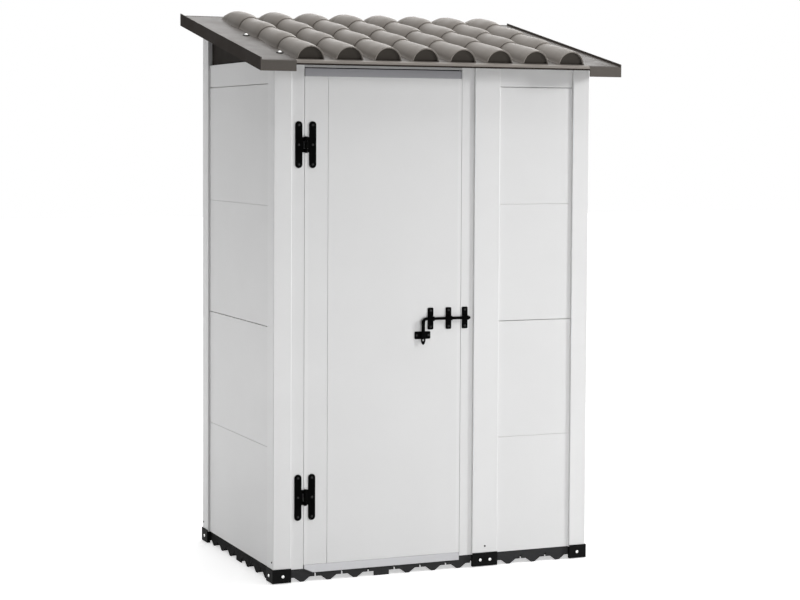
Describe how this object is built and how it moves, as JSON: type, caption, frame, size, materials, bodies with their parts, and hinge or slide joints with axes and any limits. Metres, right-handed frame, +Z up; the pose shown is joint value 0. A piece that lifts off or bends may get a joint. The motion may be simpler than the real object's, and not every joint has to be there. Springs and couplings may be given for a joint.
{
  "type": "garden shed",
  "caption": "White plastic garden shed with plank walls, a hinged door with a slide bolt, black post feet and a brown-grey lean-to roof moulded as rows of barrel tiles.",
  "frame": {"origin": "on the ground under the middle of the roof's plan", "axes": "+X to the right and +Z up as seen from the front, +Y to the back; the door is on the -Y side"},
  "size_m": [1.38, 0.944, 2.0275],
  "materials": {
    "white_plastic": "smooth white plastic boards and posts with a faint satin sheen",
    "roof_plastic": "fine-grained dark brown moulded sheet",
    "gable_plastic": "dark brown matt sheet",
    "floor_plastic": "dark grey moulded plastic with a fine grain",
    "bracket_plastic": "black moulded plastic",
    "rail_aluminium": "plain extruded aluminium with a satin surface",
    "washer_rubber": "black rubber sealing discs",
    "zinc_screws": "bright zinc-plated steel",
    "black_steel": "black powder-coated steel"
  },
  "bodies": {
    "frame": {"floor_tile_front_left": "floor_plastic", "floor_tile_front_mid": "floor_plastic", "floor_tile_front_right": "floor_plastic", "floor_tile_rear_left": "floor_plastic", "floor_tile_rear_mid": "floor_plastic", "floor_tile_rear_right": "floor_plastic", "post_front_left": "white_plastic", "post_front_right": "white_plastic", "post_rear_left": "white_plastic", "post_rear_right": "white_plastic", "mullion": "white_plastic", "left_wall_lower": "white_plastic", "left_wall_upper": "white_plastic", "left_wall_top": "white_plastic", "right_wall_lower": "white_plastic", "right_wall_upper": "white_plastic", "right_wall_top": "white_plastic", "rear_wall_lower": "white_plastic", "rear_wall_upper": "white_plastic", "rear_wall_top": "white_plastic", "front_panel_lower": "white_plastic", "front_panel_upper": "white_plastic", "front_panel_top": "white_plastic", "jamb_left": "white_plastic", "jamb_right": "white_plastic", "door_header": "white_plastic", "door_stops": "white_plastic", "front_top_rails": "rail_aluminium", "rear_top_rail": "rail_aluminium", "roof_rafters": "rail_aluminium", "gable_left": "gable_plastic", "gable_right": "gable_plastic", "roof_sheet": "roof_plastic", "roof_washers": "washer_rubber", "roof_screws": "zinc_screws", "bracket_screws": "zinc_screws", "bracket_front_left": "bracket_plastic", "bracket_front_right": "bracket_plastic", "bracket_rear_left": "bracket_plastic", "bracket_rear_right": "bracket_plastic", "bracket_mullion": "bracket_plastic", "post_screws": "black_steel", "hinge_upper_frame_leaf": "black_steel", "hinge_lower_frame_leaf": "black_steel", "hinge_pins": "black_steel", "frame_screws": "black_steel", "keeper_jamb": "black_steel"},
    "door": {"door_board_narrow": "white_plastic", "door_board_wide": "white_plastic", "door_top_channel": "rail_aluminium", "door_bottom_strip": "rail_aluminium", "door_edge_trims": "white_plastic", "hinge_upper_door_leaf": "black_steel", "hinge_lower_door_leaf": "black_steel", "door_screws": "black_steel", "keeper_inner": "black_steel", "keeper_outer": "black_steel", "hasp_plate": "black_steel"},
    "bolt": {"bolt_rod": "black_steel"},
    "handle": {"bolt_handle": "black_steel"}
  },
  "joints": [
    {"name": "door_swing", "type": "hinge", "parent": "frame", "child": "door", "pos_m": [-0.4915, -0.377, 0.911], "axis": [0, 0, -1], "range_deg": [0, 105]},
    {"name": "bolt_slide", "type": "slide", "parent": "door", "child": "bolt", "axis": [-1, 0, 0], "range_m": [0, 0.045]},
    {"name": "handle_turn", "type": "hinge", "parent": "bolt", "child": "handle", "pos_m": [-0.033, -0.379, 0.907], "axis": [-1, 0, 0], "range_deg": [0, 90]}
  ]
}
